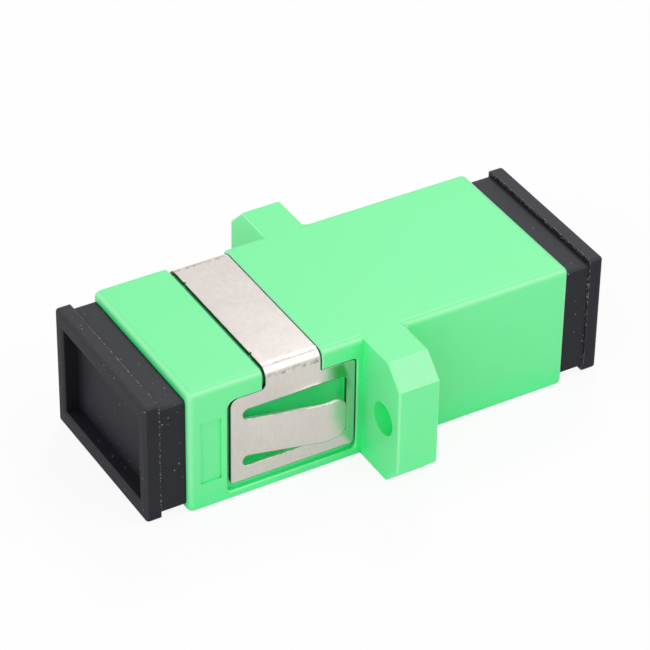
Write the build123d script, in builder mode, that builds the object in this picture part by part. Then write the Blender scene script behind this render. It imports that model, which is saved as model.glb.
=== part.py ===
from build123d import *
import os

# A simplex fibre optic adapter with a screw flange, a spring clip and two dust caps. Millimetres.
# The origin is the centre of the flange's front face, on the optical axis. +Y runs along the
# optical axis to the rear port, +X across the flange and +Z out of the face that the clip crosses.

# Housing
housing_width = 13.0
housing_height = 9.45
housing_length = 28.2
edge_radius = 0.45

# Flange ears
flange_width = 22.0
flange_thickness = 3.0
flange_chamfer = 1.5
flange_edge_radius = 0.2
ear_root_radius = 0.4
screw_hole_diameter = 2.3
screw_edge_distance = 1.9

# Plug ports, one from each end, and the web between them
port_width = 9.2
port_height = 7.6
port_corner_radius = 0.3
port_lead_in = 0.2
web_thickness = 1.2
keyway_width = 2.6
keyway_length = 6.5

# Reliefs in the side walls of both mouths
mouth_relief_wall = 0.4
mouth_relief_margin = 1.75
mouth_relief_depth = 0.6

# Bare sunk field between the front mouth and the clip's recess
field_front_margin = 0.85
field_rear_margin = 0.45
field_top_margin = 2.55
field_bottom_margin = 2.15
field_depth = 0.12

# Spring clip, folded from one sheet
sheet_thickness = 0.25
sheet_bend_radius = 0.5
bridge_width = 4.0
bridge_offset = 2.55
bridge_front_root_radius = 0.38
bridge_rear_root_radius = 0.18
nick_radius = 0.12
nick_inset = 2.15
leg_length = 0.75
plate_flange_distance = 0.5
plate_length = 9.05
plate_bottom_margin = 1.25
plate_front_radius = 0.6
plate_corner_radius = 0.25

# Window in each side plate of the clip, and the tongue that springs out of it
window_front_margin = 0.88
window_rear_margin = 0.63
window_side_margin = 1.07
window_corner_radius = 0.3
slot_width = 0.8
ramp_run = 4.85
tongue_rise = 1.2
crest_run = 1.65
tip_curl = 0.12
tongue_bend_radius = 1.2
tongue_tip_radius = 0.7

# Channel and recesses in the housing that the clip lies in
channel_depth = 0.3
recess_depth = 0.35
clip_front_gap = 0.26
clip_rear_gap = 0.08
plate_top_gap = 0.06
plate_bottom_gap = 0.48
recess_corner_radius = 0.3
recess_front_radius = 0.7
bed_rim_chamfer = 0.08
bend_relief = 0.1
pocket_depth = 0.5
pocket_gap = 0.06

# Alignment sleeve for two ferrules
ferrule_bore = 2.5
sleeve_wall = 0.35
sleeve_length = 11.4
sleeve_slot = 0.5
sleeve_lead_in = 0.1

# Latch mouldings, one in each port, that hold the sleeve between them
sleeve_clearance = 0.05
latch_clearance = 0.05
boss_diameter = 5.6
boss_clearance = 0.1
latch_plate_thickness = 1.2
barrel_wall = 0.65
barrel_tip = 0.55
barrel_mouth_diameter = 2.9
barrel_lead_in = 0.3
arm_spacing = 6.5
arm_thickness = 0.7
arm_width = 2.8
arm_length = 6.8
hook_height = 0.75
hook_flat = 0.4
hook_length = 1.3

# Dust caps
cap_reach = 2.87
cap_seat_gap = 0.05
cap_side_inset = 0.38
cap_top_inset = 0.6
cap_edge_radius = 0.25
cap_lip_thickness = 1.05
cap_lip_side_step = 0.08
cap_lip_top_step = 0.38
cap_rim_side = 0.95
cap_rim_top = 1.2
cap_recess_depth = 1.05
cap_rim_radius = 0.2
cap_floor = 0.9
cap_skirt_length = 3.2
cap_skirt_wall = 0.8
cap_skirt_chamfer = 0.25
cap_skirt_clearance = 0.05

os.makedirs("parts", exist_ok=True)

# Places along the optical axis
middle = flange_thickness / 2
front_end = middle - housing_length / 2
rear_end = middle + housing_length / 2
port_depth = (housing_length - web_thickness) / 2
latch_seat = web_thickness / 2

# Planes on the two end faces and at the adapter's middle, each looking out of its port
front_face = Plane(origin=(0, front_end, 0), x_dir=(1, 0, 0), z_dir=(0, -1, 0))
rear_face = Plane(origin=(0, rear_end, 0), x_dir=(-1, 0, 0), z_dir=(0, 1, 0))
front_half = Plane(origin=(0, middle, 0), x_dir=(1, 0, 0), z_dir=(0, -1, 0))
rear_half = Plane(origin=(0, middle, 0), x_dir=(-1, 0, 0), z_dir=(0, 1, 0))

# How near to the skin an edge has to lie to count as part of it
skin_tolerance = 0.001

# The housing's outer faces, and the clip's places against them
side_x = housing_width / 2
top_z = housing_height / 2
clip_inner_x = side_x - recess_depth
clip_inner_z = top_z - channel_depth
plate_rear = -plate_flange_distance
plate_front = plate_rear - plate_length
leg_top = clip_inner_z - sheet_bend_radius
plate_top = leg_top - leg_length
plate_bottom = plate_bottom_margin - top_z
plate_middle = (plate_top + plate_bottom) / 2
bridge_rear = plate_rear - bridge_offset
bridge_front = bridge_rear - bridge_width
window_front = plate_front + window_front_margin
window_rear = plate_rear - window_rear_margin
window_height = plate_top - plate_bottom - 2 * window_side_margin
tongue_width = window_height - 2 * slot_width
slot_middle_y = window_front + slot_width / 2
recess_front = plate_front - clip_front_gap
recess_rear = plate_rear + clip_rear_gap
recess_top = plate_top + plate_top_gap
recess_bottom = plate_bottom - plate_bottom_gap


def section_at(y):
    """The plane across the optical axis at y, with +X to the right and +Z up, facing the front."""
    return Plane.XZ.offset(-y)


# Flange plate: both ears and the slice of housing between them
with BuildPart() as flange:
    with BuildSketch(section_at(flange_thickness)) as flange_outline:
        Rectangle(flange_width, housing_height)
        chamfer(flange_outline.vertices(), length=flange_chamfer)
    extrude(amount=flange_thickness)
    flange_faces = flange.faces().filter_by(Axis.Y)
    fillet(flange_faces.edges(), radius=flange_edge_radius)

# Fillets in the corners behind the ears, which end below the flange's rounded edges
with BuildPart() as ear_roots:
    with BuildSketch(Plane.XY) as root_profile:
        root_x = side_x + ear_root_radius
        root_y = flange_thickness + ear_root_radius
        with BuildLine():
            Polyline(
                (side_x, root_y),
                (side_x - edge_radius, root_y),
                (side_x - edge_radius, middle),
                (root_x, middle),
                (root_x, flange_thickness),
            )
            CenterArc((root_x, root_y), ear_root_radius, 180, 90)
        make_face()
        mirror(about=Plane.YZ)
    extrude(amount=top_z - flange_edge_radius, both=True)

# Bed that the clip lies in: a channel over the top, and a recess in each side for its plates
with BuildPart() as clip_bed:
    with BuildSketch(section_at(bridge_rear + clip_rear_gap)):
        with Locations((0, plate_top)):
            Rectangle(housing_width, housing_height, align=(Align.CENTER, Align.MIN))
        with Locations((0, clip_inner_z)):
            RectangleRounded(
                2 * clip_inner_x,
                housing_height,
                sheet_bend_radius + bend_relief,
                align=(Align.CENTER, Align.MAX),
                mode=Mode.SUBTRACT,
            )
    extrude(amount=bridge_width + clip_rear_gap + clip_front_gap)
    with BuildSketch(Plane.YZ.offset(clip_inner_x)) as recess:
        with Locations((recess_front, recess_bottom)):
            Rectangle(
                recess_rear - recess_front,
                recess_top - recess_bottom,
                align=(Align.MIN, Align.MIN),
            )
        recess_corners = recess.vertices()
        front_top_corner = recess_corners.sort_by_distance((recess_front, recess_top))[0]
        fillet(recess_corners - [front_top_corner], radius=recess_corner_radius)
        fillet(
            recess.vertices().sort_by_distance((recess_front, recess_top))[0],
            radius=recess_front_radius,
        )
    side_recess = extrude(amount=recess_depth)
    mirror(side_recess, about=Plane.YZ)

# Housing: one moulding
with BuildPart() as housing:
    with BuildSketch(section_at(rear_end)):
        Rectangle(housing_width, housing_height)
    extrude(amount=housing_length)
    fillet(housing.edges(), radius=edge_radius)
    add(flange.part)
    add(ear_roots.part)

    # Ports, the lead-ins and side reliefs of their mouths, and the keyways in the underside
    for end_face in (front_face, rear_face):
        with BuildSketch(end_face):
            RectangleRounded(port_width, port_height, port_corner_radius)
        extrude(amount=-port_depth, mode=Mode.SUBTRACT)
        with BuildSketch(end_face):
            Rectangle(port_width + 2 * port_lead_in, port_height + 2 * port_lead_in)
        extrude(amount=-port_lead_in, taper=45, mode=Mode.SUBTRACT)
        with BuildSketch(end_face):
            Rectangle(
                housing_width - 2 * mouth_relief_wall, housing_height - 2 * mouth_relief_margin
            )
        extrude(amount=-mouth_relief_depth, mode=Mode.SUBTRACT)
        with BuildSketch(end_face):
            with Locations((0, -top_z)):
                Rectangle(keyway_width, top_z, align=(Align.CENTER, Align.MIN))
        extrude(amount=-keyway_length, mode=Mode.SUBTRACT)

    # Hole in the web that the latches meet in
    with BuildSketch(section_at(middle)):
        Circle(boss_diameter / 2 + boss_clearance)
    extrude(amount=web_thickness, both=True, mode=Mode.SUBTRACT)

    # Screw holes
    with BuildSketch(section_at(0)):
        with GridLocations(flange_width - 2 * screw_edge_distance, 1, 2, 1):
            Circle(screw_hole_diameter / 2)
    extrude(amount=-flange_thickness, mode=Mode.SUBTRACT)

    # Bed of the clip, with a chamfer round the rim where it breaks the skin
    skin = housing.part.shell()
    add(clip_bed.part, mode=Mode.SUBTRACT)
    bed_rim = housing.edges().filter_by(
        lambda edge: max(skin.distance_to(edge @ 0.5), clip_bed.part.distance_to(edge @ 0.5))
        < skin_tolerance
    )
    chamfer(bed_rim, length=bed_rim_chamfer)

    # Pockets that the tongues are pressed into
    with BuildSketch(Plane.YZ.offset(clip_inner_x)):
        with Locations(((window_front + window_rear) / 2, plate_middle)):
            RectangleRounded(
                window_rear - window_front + 2 * pocket_gap,
                window_height + 2 * pocket_gap,
                window_corner_radius,
            )
    pocket_cut = extrude(amount=-pocket_depth, mode=Mode.SUBTRACT)
    mirror(pocket_cut, about=Plane.YZ, mode=Mode.SUBTRACT)

    # Bare sunk field, on the +X side only
    with BuildSketch(Plane.YZ.offset(side_x)):
        field_front = front_end + field_front_margin
        field_rear = recess_front - field_rear_margin
        field_top = top_z - field_top_margin
        field_bottom = field_bottom_margin - top_z
        with Locations((field_front, field_bottom)):
            Rectangle(
                field_rear - field_front, field_top - field_bottom, align=(Align.MIN, Align.MIN)
            )
    extrude(amount=-field_depth, mode=Mode.SUBTRACT)
housing.part.label = "housing"

# Outline of a side plate's window, with a round-ended slot on each side of the tongue's root
with BuildSketch(Plane.YZ.offset(clip_inner_x)) as window:
    with Locations((slot_middle_y, plate_middle)):
        Rectangle(window_rear - slot_middle_y, window_height, align=(Align.MIN, Align.CENTER))
    fillet(window.vertices().group_by(Axis.X)[-1], radius=window_corner_radius)
    with Locations((slot_middle_y, plate_middle)):
        with GridLocations(1, tongue_width + slot_width, 1, 2):
            Circle(slot_width / 2)

# Spring clip's strip: a bridge folded down both sides into plates, each with its window
with BuildPart() as clip_strip:
    sheet_middle_x = clip_inner_x + sheet_thickness / 2
    sheet_middle_z = clip_inner_z + sheet_thickness / 2
    with BuildSketch(section_at(bridge_rear)):
        with BuildLine() as fold:
            FilletPolyline(
                (-sheet_middle_x, plate_top),
                (-sheet_middle_x, sheet_middle_z),
                (sheet_middle_x, sheet_middle_z),
                (sheet_middle_x, plate_top),
                radius=sheet_bend_radius + sheet_thickness / 2,
            )
        trace(lines=fold.edges(), line_width=sheet_thickness)
    extrude(amount=bridge_width)

    # Nicks where the strip was cut, in the bridge's front edge
    with BuildSketch(Plane.XY.offset(clip_inner_z)):
        with Locations((0, bridge_front)):
            with GridLocations(housing_width - 2 * nick_inset, 1, 2, 1):
                Circle(nick_radius)
    extrude(amount=sheet_thickness, mode=Mode.SUBTRACT)

    # Side plates
    with BuildSketch(Plane.YZ.offset(clip_inner_x)) as plate:
        with Locations((plate_front, plate_bottom)):
            Rectangle(plate_length, plate_top - plate_bottom, align=(Align.MIN, Align.MIN))
        plate_corners = plate.vertices()
        plate_front_corner = plate_corners.sort_by_distance((plate_front, plate_top))[0]
        fillet(plate_corners - [plate_front_corner], radius=plate_corner_radius)
        fillet(
            plate.vertices().sort_by_distance((plate_front, plate_top))[0],
            radius=plate_front_radius,
        )
        with Locations((bridge_front, plate_middle)):
            Rectangle(bridge_width, leg_top - plate_middle, align=(Align.MIN, Align.MIN))
        fillet(
            plate.vertices().sort_by_distance((bridge_front, plate_top))[0],
            radius=bridge_front_root_radius,
        )
        fillet(
            plate.vertices().sort_by_distance((bridge_rear, plate_top))[0],
            radius=bridge_rear_root_radius,
        )
        add(window.sketch_local, mode=Mode.SUBTRACT)
    side_plate = extrude(amount=sheet_thickness)
    mirror(side_plate, about=Plane.YZ)

# Tongue: straight up its ramp, over the crest and slightly in again at the tip
with BuildPart() as tongue:
    ramp_front = slot_middle_y
    ramp_rear = ramp_front + ramp_run
    tongue_tip = ramp_rear + crest_run
    with BuildSketch(Plane.XY.offset(plate_middle)):
        with BuildLine() as tongue_line:
            FilletPolyline(
                (sheet_middle_x, window_front),
                (sheet_middle_x, ramp_front),
                (sheet_middle_x + tongue_rise, ramp_rear),
                (sheet_middle_x + tongue_rise - tip_curl, tongue_tip),
                radius=tongue_bend_radius,
            )
        trace(lines=tongue_line.edges(), line_width=sheet_thickness)
    extrude(amount=tongue_width / 2, both=True)
    tip_face = tongue.faces().sort_by(Axis.Y)[-1]
    fillet(tip_face.edges().filter_by(Axis.Z, reverse=True), radius=tongue_tip_radius)

# The whole clip
with BuildPart() as panel_clip:
    add(clip_strip.part)
    add(tongue.part)
    mirror(tongue.part, about=Plane.YZ)
panel_clip.part.label = "panel_clip"

# Alignment sleeve: a split tube
with BuildPart() as alignment_sleeve:
    with BuildSketch(section_at(middle)):
        Circle(ferrule_bore / 2 + sleeve_wall)
        Circle(ferrule_bore / 2, mode=Mode.SUBTRACT)
        Rectangle(sleeve_slot, ferrule_bore, align=(Align.CENTER, Align.MAX), mode=Mode.SUBTRACT)
    extrude(amount=sleeve_length / 2, both=True)
    sleeve_rims = alignment_sleeve.edges().filter_by(GeomType.CIRCLE)
    chamfer(sleeve_rims.sort_by(SortBy.RADIUS)[:2], length=sleeve_lead_in)
alignment_sleeve.part.label = "alignment_sleeve"


def latch_on(half):
    """A latch moulding on the outward plane at the adapter's middle, with its barrel and two arms."""
    bore_radius = ferrule_bore / 2 + sleeve_wall + sleeve_clearance
    bore_length = sleeve_length / 2 + sleeve_clearance
    plate_outer = latch_seat + latch_plate_thickness
    with BuildPart() as latch:
        with BuildSketch(half):
            Circle(boss_diameter / 2)
        extrude(amount=latch_seat)
        with BuildSketch(half.offset(latch_seat)):
            RectangleRounded(
                port_width - 2 * latch_clearance,
                port_height - 2 * latch_clearance,
                port_corner_radius,
            )
        extrude(amount=latch_plate_thickness)
        with BuildSketch(half):
            Circle(bore_radius + barrel_wall)
        extrude(amount=bore_length + barrel_tip)

        # Bore for half the sleeve, and the smaller mouth that keeps it in
        with BuildSketch(half):
            Circle(bore_radius)
        extrude(amount=bore_length, mode=Mode.SUBTRACT)
        with BuildSketch(half):
            Circle(barrel_mouth_diameter / 2)
        extrude(amount=bore_length + barrel_tip, mode=Mode.SUBTRACT)
        with BuildSketch(half.offset(bore_length + barrel_tip)):
            Circle(barrel_mouth_diameter / 2 + barrel_lead_in)
        extrude(amount=-barrel_lead_in, taper=45, mode=Mode.SUBTRACT)

        # Spring arms with hooks that catch a plug
        plan = Plane(half.origin, x_dir=half.x_dir, z_dir=half.x_dir.cross(half.z_dir))
        arm_inner = arm_spacing / 2
        arm_tip = plate_outer + arm_length
        hook_back = arm_tip - hook_length
        with BuildSketch(plan):
            with BuildLine():
                Polyline(
                    (arm_inner, latch_seat),
                    (arm_inner, hook_back),
                    (arm_inner - hook_height, hook_back),
                    (arm_inner - hook_height, hook_back + hook_flat),
                    (arm_inner, arm_tip),
                    (arm_inner + arm_thickness, arm_tip),
                    (arm_inner + arm_thickness, latch_seat),
                    close=True,
                )
            make_face()
            mirror(about=Plane.YZ)
        extrude(amount=arm_width / 2, both=True)
    return latch


front_latch = latch_on(front_half)
front_latch.part.label = "front_latch"
rear_latch = latch_on(rear_half)
rear_latch.part.label = "rear_latch"


def dust_cap_on(end_face):
    """A dust cap whose collar stands off an end face of the housing, with its skirt in the port."""
    collar_width = housing_width - 2 * cap_side_inset
    collar_height = housing_height - 2 * cap_top_inset
    lip_width = collar_width + 2 * cap_lip_side_step
    lip_height = collar_height + 2 * cap_lip_top_step
    skirt_width = port_width - 2 * cap_skirt_clearance
    skirt_height = port_height - 2 * cap_skirt_clearance
    with BuildPart() as cap:
        with BuildSketch(end_face.offset(cap_reach - cap_lip_thickness)):
            RectangleRounded(lip_width, lip_height, cap_edge_radius)
        extrude(amount=cap_lip_thickness)
        outward = Axis(end_face.origin, end_face.z_dir)
        fillet(cap.faces().sort_by(outward)[-1].edges(), radius=cap_edge_radius)
        with BuildSketch(end_face.offset(cap_seat_gap)):
            RectangleRounded(collar_width, collar_height, cap_edge_radius)
        extrude(amount=cap_reach - cap_lip_thickness - cap_seat_gap)

        # Closed recess in the outer face
        with BuildSketch(end_face.offset(cap_reach)):
            Rectangle(lip_width - 2 * cap_rim_side, lip_height - 2 * cap_rim_top)
        extrude(amount=-cap_recess_depth, mode=Mode.SUBTRACT)
        rim_face = cap.faces().sort_by(outward)[-1]
        fillet(rim_face.inner_wires().edges(), radius=cap_rim_radius)

        # Skirt that fills the port's mouth, hollow from its inner end
        with BuildSketch(end_face.offset(cap_seat_gap)):
            RectangleRounded(skirt_width, skirt_height, port_corner_radius)
        extrude(amount=-cap_seat_gap - cap_skirt_length)
        chamfer(cap.faces().sort_by(outward)[0].edges(), length=cap_skirt_chamfer)
        with BuildSketch(end_face.offset(-cap_skirt_length)):
            RectangleRounded(
                skirt_width - 2 * cap_skirt_wall,
                skirt_height - 2 * cap_skirt_wall,
                port_corner_radius,
            )
        extrude(
            amount=cap_skirt_length + cap_reach - cap_recess_depth - cap_floor,
            mode=Mode.SUBTRACT,
        )
    return cap


front_dust_cap = dust_cap_on(front_face)
front_dust_cap.part.label = "front_dust_cap"
rear_dust_cap = dust_cap_on(rear_face)
rear_dust_cap.part.label = "rear_dust_cap"

export_step(housing.part, "parts/housing.step")
export_step(panel_clip.part, "parts/panel_clip.step")
export_step(alignment_sleeve.part, "parts/alignment_sleeve.step")
export_step(front_latch.part, "parts/front_latch.step")
export_step(rear_latch.part, "parts/rear_latch.step")
export_step(front_dust_cap.part, "parts/front_dust_cap.step")
export_step(rear_dust_cap.part, "parts/rear_dust_cap.step")
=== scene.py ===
import math

import bpy
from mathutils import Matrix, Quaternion, Vector


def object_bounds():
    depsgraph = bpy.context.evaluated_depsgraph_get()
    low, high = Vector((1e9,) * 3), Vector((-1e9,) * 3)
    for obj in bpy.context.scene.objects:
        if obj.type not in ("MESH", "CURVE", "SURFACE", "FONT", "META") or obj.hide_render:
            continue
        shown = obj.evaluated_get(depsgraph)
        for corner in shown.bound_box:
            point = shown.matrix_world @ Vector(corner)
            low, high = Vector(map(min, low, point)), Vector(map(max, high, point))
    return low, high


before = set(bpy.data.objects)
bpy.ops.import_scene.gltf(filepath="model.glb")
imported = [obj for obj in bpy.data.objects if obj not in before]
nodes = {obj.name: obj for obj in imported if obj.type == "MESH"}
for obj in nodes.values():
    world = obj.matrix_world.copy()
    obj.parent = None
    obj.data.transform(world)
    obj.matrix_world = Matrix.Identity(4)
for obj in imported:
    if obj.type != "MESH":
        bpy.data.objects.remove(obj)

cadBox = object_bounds()
print("adapter: frame loaded with", len(nodes), "CAD nodes")

raySamples = 8    # rays that each occlusion and bevel node sends out


def linear(hexColour):
    channels = [int(hexColour[i:i + 2], 16) / 255 for i in (1, 3, 5)]
    return [c / 12.92 if c <= 0.04045 else ((c + 0.055) / 1.055) ** 2.4 for c in channels] + [1]


def metres(millimetres):
    return millimetres / 1000


def perMetre(millimetres):
    return 1000 / millimetres     # a texture's scale for features of this size


def addNode(tree, kind, inputs=None, **settings):
    node = tree.nodes.new(kind)
    for name, value in settings.items():
        setattr(node, name, value)
    for name, value in (inputs or {}).items():
        if isinstance(value, bpy.types.NodeSocket):
            tree.links.new(value, node.inputs[name])
        else:
            node.inputs[name].default_value = value
    return node


def startMaterial(name, surface):
    material = bpy.data.materials.new(name)
    material.use_nodes = True
    tree = material.node_tree
    tree.nodes.clear()
    shader = addNode(tree, "ShaderNodeBsdfPrincipled", surface)
    addNode(tree, "ShaderNodeOutputMaterial", {"Surface": shader.outputs["BSDF"]})
    place = addNode(tree, "ShaderNodeTexCoord").outputs["Object"]
    return material, tree, shader, place


def readFacing(tree):
    # how far a face looks along each axis, then along its nearest one: 1 if flat, less on a bevel
    normal = addNode(tree, "ShaderNodeNewGeometry").outputs["Normal"]
    facing = addNode(tree, "ShaderNodeVectorMath", {0: normal}, operation="ABSOLUTE")
    along = addNode(tree, "ShaderNodeSeparateXYZ", {"Vector": facing.outputs["Vector"]}).outputs
    sideways = addNode(tree, "ShaderNodeMath", {0: along["X"], 1: along["Y"]}, operation="MAXIMUM")
    flatness = addNode(tree, "ShaderNodeMath", {
        0: sideways.outputs["Value"], 1: along["Z"]}, operation="MAXIMUM")
    return along, flatness.outputs["Value"]


# Housing: injection-moulded PBT in light green. The eye gets a satin skin, soft broad highlights,
# a very fine orange peel, edges painted paler as a highlight, painted bounce light in the hollows
# and painted shade in the gaps beside the clip.
mouldedPbt = {
    "colour": "#71EE9C",
    "shade": "#6CED98",            # where the melt flowed together, a touch deeper
    "flowSize": 9.0,               # mm, slow drift of the colour
    "flowRange": (0.3, 0.7),       # of the noise
    "roughness": 0.42,
    "roughnessDrift": 0.03,
    "ior": 1.55,
    "peelSize": 0.3,               # mm, drawn coarser than the tool's own texture
    "peelDepth": 0.0008,           # mm
    "bleed": 0.15,                 # share of the light that goes through the skin
    "bleedTint": (0.5, 1.0, 0.6),  # green light travels furthest
    "bleedReach": 0.5,             # mm
    "paintedEdgeHighlight": "#98F3B2",       # painted highlight on edges and bevels
    "edgeHighlightRange": (0.999, 0.8),   # of the flatness, from faces to bevels
    "paintedBounce": "#2CFA90",             # painted bounce light, the fuller green that light takes on from wall to wall
    "paintedBounceReach": 3.0,              # mm
    "paintedBounceRange": (0.95, 0.2),      # of the occlusion, from open faces to hollows
    # painted shade in the narrow gaps beside the clip
    "paintedGapShade": "#03190A",
    "paintedGapShadeReach": 0.5,             # mm, only the narrow gaps beside the clip get the painted shade
    "paintedGapShadeRange": (0.41, 0.3),     # below a plain corner's occlusion
    "underside": -4.7,             # mm, the face that it stands on gets no painted shade or bounce light
    "footHeight": 0.3,             # mm
    "holePlace": 9.1,              # mm from the middle to each screw hole, whose wall isn't an edge
    "holeReach": 1.2,              # mm
}

housingMaterial, tree, shader, place = startMaterial("MouldedPbtLightGreen", {
    "IOR": mouldedPbt["ior"],
    "Subsurface Weight": mouldedPbt["bleed"],
    "Subsurface Radius": mouldedPbt["bleedTint"],
    "Subsurface Scale": metres(mouldedPbt["bleedReach"])})
flow = addNode(tree, "ShaderNodeTexNoise", {
    "Vector": place, "Scale": perMetre(mouldedPbt["flowSize"])})
tint = addNode(tree, "ShaderNodeValToRGB", {"Fac": flow.outputs["Fac"]})
for end, key in enumerate(("shade", "colour")):
    tint.color_ramp.elements[end].position = mouldedPbt["flowRange"][end]
    tint.color_ramp.elements[end].color = linear(mouldedPbt[key])

# both screw holes at once, by the distance from the nearer one's axis
mirrored = addNode(tree, "ShaderNodeVectorMath", {0: place}, operation="ABSOLUTE")
fromHole = addNode(tree, "ShaderNodeVectorMath", {
    0: mirrored.outputs["Vector"],
    1: (metres(mouldedPbt["holePlace"]), 0, 0)}, operation="SUBTRACT")
acrossHole = addNode(tree, "ShaderNodeVectorMath", {
    0: fromHole.outputs["Vector"], 1: (1, 0, 1)}, operation="MULTIPLY")
holeDistance = addNode(tree, "ShaderNodeVectorMath", {
    0: acrossHole.outputs["Vector"]}, operation="LENGTH")
offHole = addNode(tree, "ShaderNodeMath", {
    0: holeDistance.outputs["Value"],
    1: metres(mouldedPbt["holeReach"])}, operation="GREATER_THAN")

# painted highlight: edges and bevels are painted paler than the faces
_, flatness = readFacing(tree)
edgeHighlight = addNode(tree, "ShaderNodeMapRange", {
    "Value": flatness, "From Min": mouldedPbt["edgeHighlightRange"][0],
    "From Max": mouldedPbt["edgeHighlightRange"][1], "To Max": offHole.outputs["Value"]})
edgeHighlightColour = addNode(tree, "ShaderNodeMixRGB", {
    "Fac": edgeHighlight.outputs["Result"],
    "Color1": tint.outputs["Color"], "Color2": linear(mouldedPbt["paintedEdgeHighlight"])})

height = addNode(tree, "ShaderNodeSeparateXYZ", {"Vector": place}).outputs["Z"]
offFloor = addNode(tree, "ShaderNodeMapRange", {
    "Value": height, "From Min": metres(mouldedPbt["underside"]),
    "From Max": metres(mouldedPbt["underside"] + mouldedPbt["footHeight"])})
# painted bounce light: the hollows are painted a fuller green by their occlusion
openness = addNode(tree, "ShaderNodeAmbientOcclusion", {
    "Distance": metres(mouldedPbt["paintedBounceReach"])}, samples=raySamples)
paintedBounceMask = addNode(tree, "ShaderNodeMapRange", {
    "Value": openness.outputs["AO"], "From Min": mouldedPbt["paintedBounceRange"][0],
    "From Max": mouldedPbt["paintedBounceRange"][1], "To Max": offFloor.outputs["Result"]})
paintedBounceColour = addNode(tree, "ShaderNodeMixRGB", {
    "Fac": paintedBounceMask.outputs["Result"],
    "Color1": edgeHighlightColour.outputs["Color"], "Color2": linear(mouldedPbt["paintedBounce"])})
# painted shade: the narrow gaps beside the clip are painted dark by their occlusion
closeness = addNode(tree, "ShaderNodeAmbientOcclusion", {
    "Distance": metres(mouldedPbt["paintedGapShadeReach"])}, samples=raySamples)
gapShadeMask = addNode(tree, "ShaderNodeMapRange", {
    "Value": closeness.outputs["AO"], "From Min": mouldedPbt["paintedGapShadeRange"][0],
    "From Max": mouldedPbt["paintedGapShadeRange"][1], "To Max": offFloor.outputs["Result"]})
skinColour = addNode(tree, "ShaderNodeMixRGB", {
    "Fac": gapShadeMask.outputs["Result"],
    "Color1": paintedBounceColour.outputs["Color"], "Color2": linear(mouldedPbt["paintedGapShade"])})
tree.links.new(skinColour.outputs["Color"], shader.inputs["Base Color"])

gloss = addNode(tree, "ShaderNodeMapRange", {
    "Value": flow.outputs["Fac"],
    "From Min": mouldedPbt["flowRange"][0], "From Max": mouldedPbt["flowRange"][1],
    "To Min": mouldedPbt["roughness"] - mouldedPbt["roughnessDrift"],
    "To Max": mouldedPbt["roughness"] + mouldedPbt["roughnessDrift"]})
tree.links.new(gloss.outputs["Result"], shader.inputs["Roughness"])
peel = addNode(tree, "ShaderNodeTexNoise", {
    "Vector": place, "Scale": perMetre(mouldedPbt["peelSize"])})
skin = addNode(tree, "ShaderNodeBump", {
    "Height": peel.outputs["Fac"], "Distance": metres(mouldedPbt["peelDepth"])})
tree.links.new(skin.outputs["Normal"], shader.inputs["Normal"])
print("adapter: moulded PBT made")


# Clip: stainless spring steel, cold rolled and stamped. The eye gets a pale satin metal, faint
# streaks along the roll, reflections of the green beside it, grubby specks where the bends start,
# scuffed bends, dull cut edges with a painted highlight on those that face up, and painted shade in
# the gaps and along the cuts.
rolledSteel = {
    "colour": "#DFD7D2",
    "streak": "#DAD2CD",
    "streakWidth": 0.09,           # mm across the roll
    "streakLength": 0.5,           # mm along the roll, short and broken
    "streakRange": (0.3, 0.7),     # of the noise
    "grubby": "#928982",
    "grubbySize": 0.32,            # mm
    "grubbyDetail": 5.0,
    "grubbyGrain": 0.65,
    "grubbyRange": (0.44, 0.68),   # of the noise
    "bendStart": (0.003, 0.06),    # of the bend share, 0 on the flat sheet and 0.5 at 45 degrees
    "flatGrubby": 0.08,            # share of the grubby specks on the flat sheet
    "bendMiddle": (0.42, 0.25),
    "middleGrubby": 0.15,          # share over the middle of a bend, which is wiped clean
    "roughness": 0.17,
    "roughnessDrift": 0.012,
    "cloudSize": 1.8,              # mm, oil and finger marks
    "cloudDetail": 4.0,
    "cloudGrain": 0.6,
    "cloudRange": (0.3, 0.7),      # of the noise
    "bendRoughness": 0.36,         # the die scuffed the bends
    "bendScuff": (0.02, 0.15),     # of the bend share
    "curlRoughness": 0.42,         # and the tongue's tip, where it curls back
    "curlScuff": (0.03, 0.2),
    "cutFacing": 0.8,              # faces that look this far along Y or Z are cut ones
    "sheetTop": 4.1,               # mm, but above this height Z faces are the bridge's rolled ones
    "upwardCutHighlight": "#F3F0ED",         # painted highlight on the cuts that face up
    # the dull tone of torn steel, darkened further as painted shade
    "dullCutAndShade": "#6A6D63",
    "upward": (0.2, 0.6),          # of the normal's Z, from dull cuts to the painted highlight
    "cutRoughness": 0.42,
    "tearSize": 0.05,              # mm
    "tearDepth": 0.004,            # mm
    "gapShadeColour": "#1E1B18",        # painted shade in the narrow gaps
    "gapShadeReach": 0.3,               # mm
    "gapShadeRange": (0.6, 0.4),        # of the occlusion
    "dieRoll": 0.09,               # mm, how far the sheet's edges are rounded over
    "paintedEdgeShade": "#4C4741",             # painted shade, a dark line along the cut
    "paintedEdgeShadeShare": 0.85,
    "paintedEdgeShadeRange": (0.99, 0.86),     # of the cosine between the normal and the bevelled one
    "edgeShadeFacingRange": (0.35, 0.12),    # of the bevelled one's Z, from broken specks on cuts that face up to a full line of painted shade
}

clipMaterial, tree, shader, place = startMaterial("RolledStainlessStampedSatin", {"Metallic": 1.0})
stretched = addNode(tree, "ShaderNodeMapping", {
    "Vector": place,
    "Scale": (perMetre(rolledSteel["streakLength"]), perMetre(rolledSteel["streakWidth"]),
              perMetre(rolledSteel["streakLength"]))})
streaks = addNode(tree, "ShaderNodeTexNoise", {
    "Vector": stretched.outputs["Vector"], "Scale": 1.0})
tint = addNode(tree, "ShaderNodeValToRGB", {"Fac": streaks.outputs["Fac"]})
for end, key in enumerate(("streak", "colour")):
    tint.color_ramp.elements[end].position = rolledSteel["streakRange"][end]
    tint.color_ramp.elements[end].color = linear(rolledSteel[key])

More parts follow.
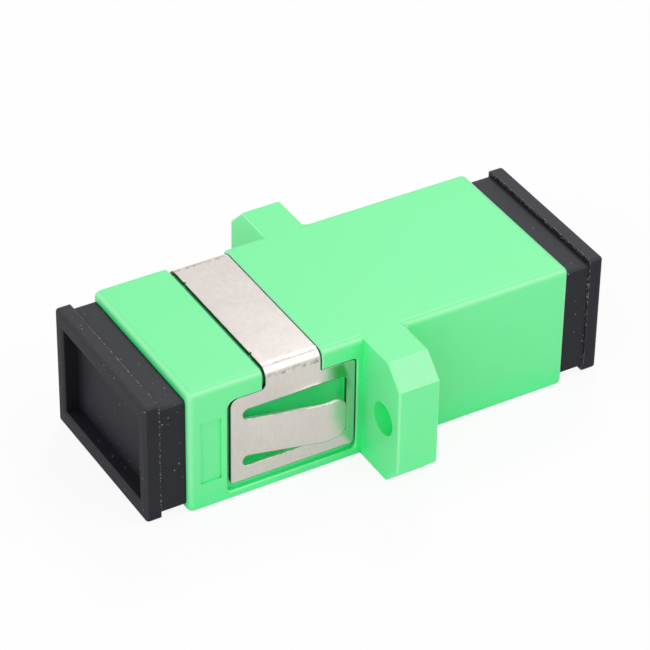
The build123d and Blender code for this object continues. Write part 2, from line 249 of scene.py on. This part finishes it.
normal = addNode(tree, "ShaderNodeNewGeometry").outputs["Normal"]
facing = addNode(tree, "ShaderNodeSeparateXYZ", {"Vector": normal}).outputs
height = addNode(tree, "ShaderNodeSeparateXYZ", {"Vector": place}).outputs["Z"]
strength = {axis: addNode(tree, "ShaderNodeMath", {0: facing[axis]}, operation="ABSOLUTE")
            for axis in "XYZ"}
lowEnough = addNode(tree, "ShaderNodeMath", {
    0: height, 1: metres(rolledSteel["sheetTop"])}, operation="LESS_THAN")
cutAlongZ = addNode(tree, "ShaderNodeMath", {
    0: strength["Z"].outputs["Value"], 1: lowEnough.outputs["Value"]}, operation="MULTIPLY")
cutFacing = addNode(tree, "ShaderNodeMath", {
    0: strength["Y"].outputs["Value"], 1: cutAlongZ.outputs["Value"]}, operation="MAXIMUM")
cut = addNode(tree, "ShaderNodeMath", {
    0: cutFacing.outputs["Value"], 1: rolledSteel["cutFacing"]}, operation="GREATER_THAN")
bent = addNode(tree, "ShaderNodeMath", {0: facing["X"], 1: facing["Z"]}, operation="MULTIPLY")
bendShare = addNode(tree, "ShaderNodeMath", {0: bent.outputs["Value"]}, operation="ABSOLUTE")
curlShare = addNode(tree, "ShaderNodeMath", {
    0: strength["X"].outputs["Value"], 1: facing["Y"]}, operation="MULTIPLY")

# the bends are grubby where they begin and end
smears = addNode(tree, "ShaderNodeTexNoise", {
    "Vector": place, "Scale": perMetre(rolledSteel["grubbySize"]),
    "Detail": rolledSteel["grubbyDetail"], "Roughness": rolledSteel["grubbyGrain"]})
smearShare = addNode(tree, "ShaderNodeMapRange", {
    "Value": smears.outputs["Fac"],
    "From Min": rolledSteel["grubbyRange"][0], "From Max": rolledSteel["grubbyRange"][1]})
pastStart = addNode(tree, "ShaderNodeMapRange", {
    "Value": bendShare.outputs["Value"], "From Min": rolledSteel["bendStart"][0],
    "From Max": rolledSteel["bendStart"][1], "To Min": rolledSteel["flatGrubby"]})
beforeMiddle = addNode(tree, "ShaderNodeMapRange", {
    "Value": bendShare.outputs["Value"], "From Min": rolledSteel["bendMiddle"][0],
    "From Max": rolledSteel["bendMiddle"][1], "To Min": rolledSteel["middleGrubby"]})
bendMask = addNode(tree, "ShaderNodeMath", {
    0: pastStart.outputs["Result"], 1: beforeMiddle.outputs["Result"]}, operation="MULTIPLY")
grubby = addNode(tree, "ShaderNodeMath", {
    0: smearShare.outputs["Result"], 1: bendMask.outputs["Value"]}, operation="MULTIPLY")
sheetTint = addNode(tree, "ShaderNodeMixRGB", {
    "Fac": grubby.outputs["Value"],
    "Color1": tint.outputs["Color"], "Color2": linear(rolledSteel["grubby"])})

# painted highlight on cuts that face up, dull cuts with painted shade on the rest
cutHighlightShare = addNode(tree, "ShaderNodeMapRange", {
    "Value": facing["Z"],
    "From Min": rolledSteel["upward"][0], "From Max": rolledSteel["upward"][1]})
cutShadeAndHighlight = addNode(tree, "ShaderNodeMixRGB", {
    "Fac": cutHighlightShare.outputs["Result"],
    "Color1": linear(rolledSteel["dullCutAndShade"]), "Color2": linear(rolledSteel["upwardCutHighlight"])})
edgeTint = addNode(tree, "ShaderNodeMixRGB", {
    "Fac": cut.outputs["Value"],
    "Color1": sheetTint.outputs["Color"], "Color2": cutShadeAndHighlight.outputs["Color"]})

# painted shade: the narrow gaps are painted dark by their occlusion
closeness = addNode(tree, "ShaderNodeAmbientOcclusion", {
    "Distance": metres(rolledSteel["gapShadeReach"])}, samples=raySamples)
gapShadeMask = addNode(tree, "ShaderNodeMapRange", {
    "Value": closeness.outputs["AO"],
    "From Min": rolledSteel["gapShadeRange"][0], "From Max": rolledSteel["gapShadeRange"][1]})
gapShadeTint = addNode(tree, "ShaderNodeMixRGB", {
    "Fac": gapShadeMask.outputs["Result"],
    "Color1": edgeTint.outputs["Color"], "Color2": linear(rolledSteel["gapShadeColour"])})

# painted shade: a dark line along the cuts, only broken specks where they face up
softened = addNode(tree, "ShaderNodeBevel", {
    "Radius": metres(rolledSteel["dieRoll"])}, samples=raySamples).outputs["Normal"]
turned = addNode(tree, "ShaderNodeVectorMath", {0: normal, 1: softened}, operation="DOT_PRODUCT")
softenedParts = addNode(tree, "ShaderNodeSeparateXYZ", {"Vector": softened}).outputs
edgeShadeByFacing = addNode(tree, "ShaderNodeMapRange", {
    "Value": softenedParts["Z"],
    "From Min": rolledSteel["edgeShadeFacingRange"][0], "From Max": rolledSteel["edgeShadeFacingRange"][1],
    "To Min": smearShare.outputs["Result"], "To Max": rolledSteel["paintedEdgeShadeShare"]})
paintedEdgeShade = addNode(tree, "ShaderNodeMapRange", {
    "Value": turned.outputs["Value"], "From Min": rolledSteel["paintedEdgeShadeRange"][0],
    "From Max": rolledSteel["paintedEdgeShadeRange"][1], "To Max": edgeShadeByFacing.outputs["Result"]})
steelTint = addNode(tree, "ShaderNodeMixRGB", {
    "Fac": paintedEdgeShade.outputs["Result"],
    "Color1": gapShadeTint.outputs["Color"], "Color2": linear(rolledSteel["paintedEdgeShade"])})
tree.links.new(steelTint.outputs["Color"], shader.inputs["Base Color"])

clouds = addNode(tree, "ShaderNodeTexNoise", {
    "Vector": place, "Scale": perMetre(rolledSteel["cloudSize"]),
    "Detail": rolledSteel["cloudDetail"], "Roughness": rolledSteel["cloudGrain"]})
sheetGloss = addNode(tree, "ShaderNodeMapRange", {
    "Value": clouds.outputs["Fac"],
    "From Min": rolledSteel["cloudRange"][0], "From Max": rolledSteel["cloudRange"][1],
    "To Min": rolledSteel["roughness"] - rolledSteel["roughnessDrift"],
    "To Max": rolledSteel["roughness"] + rolledSteel["roughnessDrift"]})
bendGloss = addNode(tree, "ShaderNodeMapRange", {
    "Value": bendShare.outputs["Value"],
    "From Min": rolledSteel["bendScuff"][0], "From Max": rolledSteel["bendScuff"][1],
    "To Min": sheetGloss.outputs["Result"], "To Max": rolledSteel["bendRoughness"]})
curlGloss = addNode(tree, "ShaderNodeMapRange", {
    "Value": curlShare.outputs["Value"],
    "From Min": rolledSteel["curlScuff"][0], "From Max": rolledSteel["curlScuff"][1],
    "To Min": bendGloss.outputs["Result"], "To Max": rolledSteel["curlRoughness"]})
gloss = addNode(tree, "ShaderNodeMapRange", {
    "Value": cut.outputs["Value"],
    "To Min": curlGloss.outputs["Result"], "To Max": rolledSteel["cutRoughness"]})
tree.links.new(gloss.outputs["Result"], shader.inputs["Roughness"])
torn = addNode(tree, "ShaderNodeTexNoise", {
    "Vector": place, "Scale": perMetre(rolledSteel["tearSize"])})
tornCut = addNode(tree, "ShaderNodeMath", {
    0: torn.outputs["Fac"], 1: cut.outputs["Value"]}, operation="MULTIPLY")
grain = addNode(tree, "ShaderNodeBump", {
    "Height": tornCut.outputs["Value"], "Distance": metres(rolledSteel["tearDepth"]),
    "Normal": softened})
tree.links.new(grain.outputs["Normal"], shader.inputs["Normal"])
print("adapter: rolled steel made")


# Dust caps: moulded polyethylene, black. The eye gets a dull waxy satin, greyer on top with a
# film of dust and a painted sheen, edges painted paler as a highlight, pale specks and a ragged
# line of flash around each lip.
mouldedPe = {
    "colour": "#0F0F18",
    "bloom": "#14141E",
    "bloomSize": 2.5,              # mm
    "bloomDetail": 4.0,
    "bloomRange": (0.3, 0.7),      # of the noise
    "roughness": 0.62,
    "ior": 1.51,
    "specular": 0.33,              # the fine texture of the tool swallows part of the gloss
    "speck": "#A9A9A6",
    "speckPitch": 0.36,            # mm between specks
    "speckRadius": 0.16,           # share of the pitch, for the largest
    "speckRange": (0.6, 1.0),      # of the random number in each cell, the others stay empty
    "speckShare": 0.5,             # how far a speck hides the black
    # painted highlight on the edges
    "paintedEdgeHighlight": "#2C2C31",
    "edgeHighlightRange": (0.995, 0.85),  # of the flatness, from faces to edges
    "topDustAndSheen": "#29292F",         # dust and a painted sheen on the top faces
    "topFace": 3.95,               # mm from the axis, the skirt in the port gets neither
    "topDustAndSheenRange": (0.6, 0.95),      # of the normal's Z
    "middle": 1.5,                 # mm, where the two caps mirror each other
    "flashPlace": 15.92,           # mm from there to the inner edge of each lip
    "flashWidth": 0.07,            # mm either side, where the tool's halves met
    "flashGrain": 0.16,            # mm
    "flashDetail": 3.0,
    "flashRoughness": 0.7,
    "flashRange": (0.52, 0.62),    # of the noise, which breaks the line up
    "lipSide": 6.0,                # mm from the axis, the flash stays at the lip's outer edge
    "lipTop": 4.28,                # mm
    "grainSize": 0.25,             # mm
    "grainDetail": 3.0,
    "grainDepth": 0.003,           # mm
}

capMaterial, tree, shader, place = startMaterial("MouldedPolyethyleneBlack", {
    "Roughness": mouldedPe["roughness"],
    "IOR": mouldedPe["ior"],
    "Specular IOR Level": mouldedPe["specular"]})
bloom = addNode(tree, "ShaderNodeTexNoise", {
    "Vector": place, "Scale": perMetre(mouldedPe["bloomSize"]),
    "Detail": mouldedPe["bloomDetail"]})
tint = addNode(tree, "ShaderNodeValToRGB", {"Fac": bloom.outputs["Fac"]})
for end, key in enumerate(("colour", "bloom")):
    tint.color_ramp.elements[end].position = mouldedPe["bloomRange"][end]
    tint.color_ramp.elements[end].color = linear(mouldedPe[key])

along, flatness = readFacing(tree)
placeParts = addNode(tree, "ShaderNodeSeparateXYZ", {"Vector": place}).outputs
# dust and a painted sheen make the top faces paler
onTop = addNode(tree, "ShaderNodeMath", {
    0: placeParts["Z"], 1: metres(mouldedPe["topFace"])}, operation="GREATER_THAN")
level = addNode(tree, "ShaderNodeMath", {
    0: along["Z"], 1: onTop.outputs["Value"]}, operation="MULTIPLY")
topDustAndSheenShare = addNode(tree, "ShaderNodeMapRange", {
    "Value": level.outputs["Value"],
    "From Min": mouldedPe["topDustAndSheenRange"][0], "From Max": mouldedPe["topDustAndSheenRange"][1]})
topDustAndSheenColour = addNode(tree, "ShaderNodeMixRGB", {
    "Fac": topDustAndSheenShare.outputs["Result"],
    "Color1": tint.outputs["Color"], "Color2": linear(mouldedPe["topDustAndSheen"])})
# painted highlight: the edges are painted paler than the faces
edgeHighlight = addNode(tree, "ShaderNodeMapRange", {
    "Value": flatness,
    "From Min": mouldedPe["edgeHighlightRange"][0], "From Max": mouldedPe["edgeHighlightRange"][1]})
edgeHighlightColour = addNode(tree, "ShaderNodeMixRGB", {
    "Fac": edgeHighlight.outputs["Result"],
    "Color1": topDustAndSheenColour.outputs["Color"], "Color2": linear(mouldedPe["paintedEdgeHighlight"])})

specks = addNode(tree, "ShaderNodeTexVoronoi", {
    "Vector": place, "Scale": perMetre(mouldedPe["speckPitch"])})
speckNumber = addNode(tree, "ShaderNodeSeparateXYZ", {"Vector": specks.outputs["Color"]})
speckReach = addNode(tree, "ShaderNodeMapRange", {
    "Value": speckNumber.outputs["X"], "From Min": mouldedPe["speckRange"][0],
    "From Max": mouldedPe["speckRange"][1], "To Max": mouldedPe["speckRadius"]})
onSpeck = addNode(tree, "ShaderNodeMath", {
    0: specks.outputs["Distance"], 1: speckReach.outputs["Result"]}, operation="LESS_THAN")

fromMiddle = addNode(tree, "ShaderNodeMath", {
    0: placeParts["Y"], 1: metres(mouldedPe["middle"])}, operation="SUBTRACT")
outward = addNode(tree, "ShaderNodeMath", {0: fromMiddle.outputs["Value"]}, operation="ABSOLUTE")
onSeam = addNode(tree, "ShaderNodeMath", {
    0: outward.outputs["Value"], 1: metres(mouldedPe["flashPlace"]),
    2: metres(mouldedPe["flashWidth"])}, operation="COMPARE")
atRim = []
for axis, key in (("X", "lipSide"), ("Z", "lipTop")):
    reach = addNode(tree, "ShaderNodeMath", {0: placeParts[axis]}, operation="ABSOLUTE")
    atRim.append(addNode(tree, "ShaderNodeMath", {
        0: reach.outputs["Value"], 1: metres(mouldedPe[key])}, operation="GREATER_THAN"))
onRim = addNode(tree, "ShaderNodeMath", {
    0: atRim[0].outputs["Value"], 1: atRim[1].outputs["Value"]}, operation="MAXIMUM")
flashLine = addNode(tree, "ShaderNodeMath", {
    0: onSeam.outputs["Value"], 1: onRim.outputs["Value"]}, operation="MULTIPLY")
ragged = addNode(tree, "ShaderNodeTexNoise", {
    "Vector": place, "Scale": perMetre(mouldedPe["flashGrain"]),
    "Detail": mouldedPe["flashDetail"], "Roughness": mouldedPe["flashRoughness"]})
broken = addNode(tree, "ShaderNodeMapRange", {
    "Value": ragged.outputs["Fac"],
    "From Min": mouldedPe["flashRange"][0], "From Max": mouldedPe["flashRange"][1]})
flash = addNode(tree, "ShaderNodeMath", {
    0: flashLine.outputs["Value"], 1: broken.outputs["Result"]}, operation="MULTIPLY")
pale = addNode(tree, "ShaderNodeMath", {
    0: onSpeck.outputs["Value"], 1: flash.outputs["Value"]}, operation="MAXIMUM")
paleShare = addNode(tree, "ShaderNodeMath", {
    0: pale.outputs["Value"], 1: mouldedPe["speckShare"]}, operation="MULTIPLY")
capColour = addNode(tree, "ShaderNodeMixRGB", {
    "Fac": paleShare.outputs["Value"],
    "Color1": edgeHighlightColour.outputs["Color"], "Color2": linear(mouldedPe["speck"])})
tree.links.new(capColour.outputs["Color"], shader.inputs["Base Color"])

grain = addNode(tree, "ShaderNodeTexNoise", {
    "Vector": place, "Scale": perMetre(mouldedPe["grainSize"]),
    "Detail": mouldedPe["grainDetail"]})
skin = addNode(tree, "ShaderNodeBump", {
    "Height": grain.outputs["Fac"], "Distance": metres(mouldedPe["grainDepth"])})
tree.links.new(skin.outputs["Normal"], shader.inputs["Normal"])
print("adapter: moulded polyethylene made")


# Latches: natural PBT, off-white, inside the ports. The eye gets a plain satin plastic.
naturalPbt = {
    "name": "MouldedPbtNatural",
    "colour": "#E4E0D2",
    "shade": "#D9D4C4",
    "patternSize": 2.0,    # mm, drift of the melt
    "patternDetail": 3.0,
    "roughness": 0.4,
    "ior": 1.55,
}

# Sleeve: zirconia, ground and polished. The eye gets a dense glossy white.
groundZirconia = {
    "name": "GroundZirconia",
    "colour": "#F3F1EA",
    "shade": "#E9E6DC",
    "patternSize": 0.08,   # mm, the marks of the wheel
    "patternDetail": 2.0,
    "roughness": 0.12,
    "ior": 2.15,
}

innerMaterials = []
for inner in (naturalPbt, groundZirconia):
    material, tree, shader, place = startMaterial(inner["name"], {
        "Roughness": inner["roughness"], "IOR": inner["ior"]})
    pattern = addNode(tree, "ShaderNodeTexNoise", {
        "Vector": place, "Scale": perMetre(inner["patternSize"]),
        "Detail": inner["patternDetail"]})
    tint = addNode(tree, "ShaderNodeValToRGB", {"Fac": pattern.outputs["Fac"]})
    tint.color_ramp.elements[0].color = linear(inner["shade"])
    tint.color_ramp.elements[1].color = linear(inner["colour"])
    tree.links.new(tint.outputs["Color"], shader.inputs["Base Color"])
    innerMaterials.append(material)
latchMaterial, sleeveMaterial = innerMaterials
print("adapter: inner materials made")

for nodeName, nodeMaterial in {
    "housing": housingMaterial,
    "panel_clip": clipMaterial,
    "front_dust_cap": capMaterial,
    "rear_dust_cap": capMaterial,
    "front_latch": latchMaterial,
    "rear_latch": latchMaterial,
    "alignment_sleeve": sleeveMaterial,
}.items():
    for materialSlot in nodes[nodeName].material_slots:
        materialSlot.material = nodeMaterial
print("adapter: materials on the CAD nodes")


# Floor: plain white, bright to the camera but with the adapter's own soft shadow
floorSettings = {
    "size": 3.0,
    "colour": "#F4F4F4",
    "gapBelow": 0.02,      # mm, so that the underside and the floor don't share a plane
    "toCamera": 0.9,       # share of plain white that the camera sees
    "toGloss": 0.45,       # and that the steel and the gloss see
}

bpy.ops.mesh.primitive_plane_add(
    size=floorSettings["size"], location=(0, 0, cadBox[0].z - metres(floorSettings["gapBelow"])))
floor = bpy.context.object
floor.name = "floor"
material = bpy.data.materials.new("FloorPaper")
material.use_nodes = True
tree = material.node_tree
tree.nodes.clear()
paper = addNode(tree, "ShaderNodeBsdfDiffuse", {"Color": linear(floorSettings["colour"])})
white = addNode(tree, "ShaderNodeEmission", {"Color": (1, 1, 1, 1)})
rays = addNode(tree, "ShaderNodeLightPath").outputs
toCamera = addNode(tree, "ShaderNodeMath", {
    0: rays["Is Camera Ray"], 1: floorSettings["toCamera"]}, operation="MULTIPLY")
toGloss = addNode(tree, "ShaderNodeMath", {
    0: rays["Is Glossy Ray"], 1: floorSettings["toGloss"]}, operation="MULTIPLY")
share = addNode(tree, "ShaderNodeMath", {
    0: toCamera.outputs["Value"], 1: toGloss.outputs["Value"]}, operation="MAXIMUM")
mixed = addNode(tree, "ShaderNodeMixShader", {
    "Fac": share.outputs["Value"], 1: paper.outputs["BSDF"], 2: white.outputs["Emission"]})
# seen from below, the floor lets the underside show
back = addNode(tree, "ShaderNodeNewGeometry").outputs["Backfacing"]
fromBelow = addNode(tree, "ShaderNodeMath", {
    0: back, 1: rays["Is Camera Ray"]}, operation="MULTIPLY")
clear = addNode(tree, "ShaderNodeBsdfTransparent")
oneSided = addNode(tree, "ShaderNodeMixShader", {
    "Fac": fromBelow.outputs["Value"], 1: mixed.outputs["Shader"], 2: clear.outputs["BSDF"]})
addNode(tree, "ShaderNodeOutputMaterial", {"Surface": oneSided.outputs["Shader"]})
floor.data.materials.append(material)

# World: even white room light
worldSettings = {"colour": "#FFFFFF", "strength": 0.48, "toGloss": 0.85}

world = bpy.data.worlds.new("Studio")
bpy.context.scene.world = world
world.use_nodes = True
tree = world.node_tree
tree.nodes.clear()
room = addNode(tree, "ShaderNodeBackground", {
    "Color": linear(worldSettings["colour"]), "Strength": worldSettings["strength"]})
backdrop = addNode(tree, "ShaderNodeBackground", {"Color": (1, 1, 1, 1)})
rays = addNode(tree, "ShaderNodeLightPath").outputs
toGloss = addNode(tree, "ShaderNodeMath", {
    0: rays["Is Glossy Ray"], 1: worldSettings["toGloss"]}, operation="MULTIPLY")
share = addNode(tree, "ShaderNodeMath", {
    0: rays["Is Camera Ray"], 1: toGloss.outputs["Value"]}, operation="MAXIMUM")
mixed = addNode(tree, "ShaderNodeMixShader", {
    "Fac": share.outputs["Value"],
    1: room.outputs["Background"], 2: backdrop.outputs["Background"]})
addNode(tree, "ShaderNodeOutputWorld", {"Surface": mixed.outputs["Shader"]})

# Lamps, all aimed at the origin: position and size in metres, power in watts. The two fills don't
# show in reflections, where the steel would lose its tone to them in the views from behind.
lamps = {
    "overheadRear": {
        "position": (-0.172, 0.142, 0.269), "size": 0.08, "power": 0.275, "inGloss": True},
    "rightRear": {
        "position": (0.203, 0.144, 0.246), "size": 0.28, "power": 0.38, "inGloss": True},
    "frontLeft": {
        "position": (-0.247, -0.203, 0.142), "size": 0.24, "power": 0.2, "inGloss": False},
    "front": {
        "position": (0.235, -0.44, 0.19), "size": 0.5, "power": 1.3, "inGloss": False},
}
for lampName, lamp in lamps.items():
    data = bpy.data.lights.new(lampName, "AREA")
    data.size = lamp["size"]
    data.energy = lamp["power"]
    lampObject = bpy.data.objects.new(lampName, data)
    bpy.context.scene.collection.objects.link(lampObject)
    lampObject.location = lamp["position"]
    lampObject.rotation_mode = "QUATERNION"
    lampObject.rotation_quaternion = (-Vector(lamp["position"])).to_track_quat("-Z", "Y")
    lampObject.visible_glossy = lamp["inGloss"]
print("adapter: floor, room light and", len(lamps), "lamps placed")

# Camera: a long lens from the front right, above
cameraSettings = {
    "azimuth": 59.346,     # degrees
    "elevation": 36.094,
    "roll": 0.915,
    "distance": 0.21977,   # m
    "aim": (-0.000646, 0.001382, 0.000679),
    "lens": 185.72,        # mm
    "sensor": 36.0,
    "nearest": 0.01,       # m
}
azimuth = math.radians(cameraSettings["azimuth"])
elevation = math.radians(cameraSettings["elevation"])
roll = Quaternion((0, 0, 1), math.radians(cameraSettings["roll"]))
outward = Vector((
    math.sin(azimuth) * math.cos(elevation),
    -math.cos(azimuth) * math.cos(elevation),
    math.sin(elevation)))
data = bpy.data.cameras.new("camera")
data.lens = cameraSettings["lens"]
data.sensor_width = cameraSettings["sensor"]
data.clip_start = cameraSettings["nearest"]
camera = bpy.data.objects.new("camera", data)
bpy.context.scene.collection.objects.link(camera)
camera.rotation_mode = "QUATERNION"
camera.location = Vector(cameraSettings["aim"]) + outward * cameraSettings["distance"]
camera.rotation_quaternion = (-outward).to_track_quat("-Z", "Y") @ roll
bpy.context.scene.camera = camera
bpy.context.scene.view_settings.view_transform = "Standard"
print("adapter: camera set")
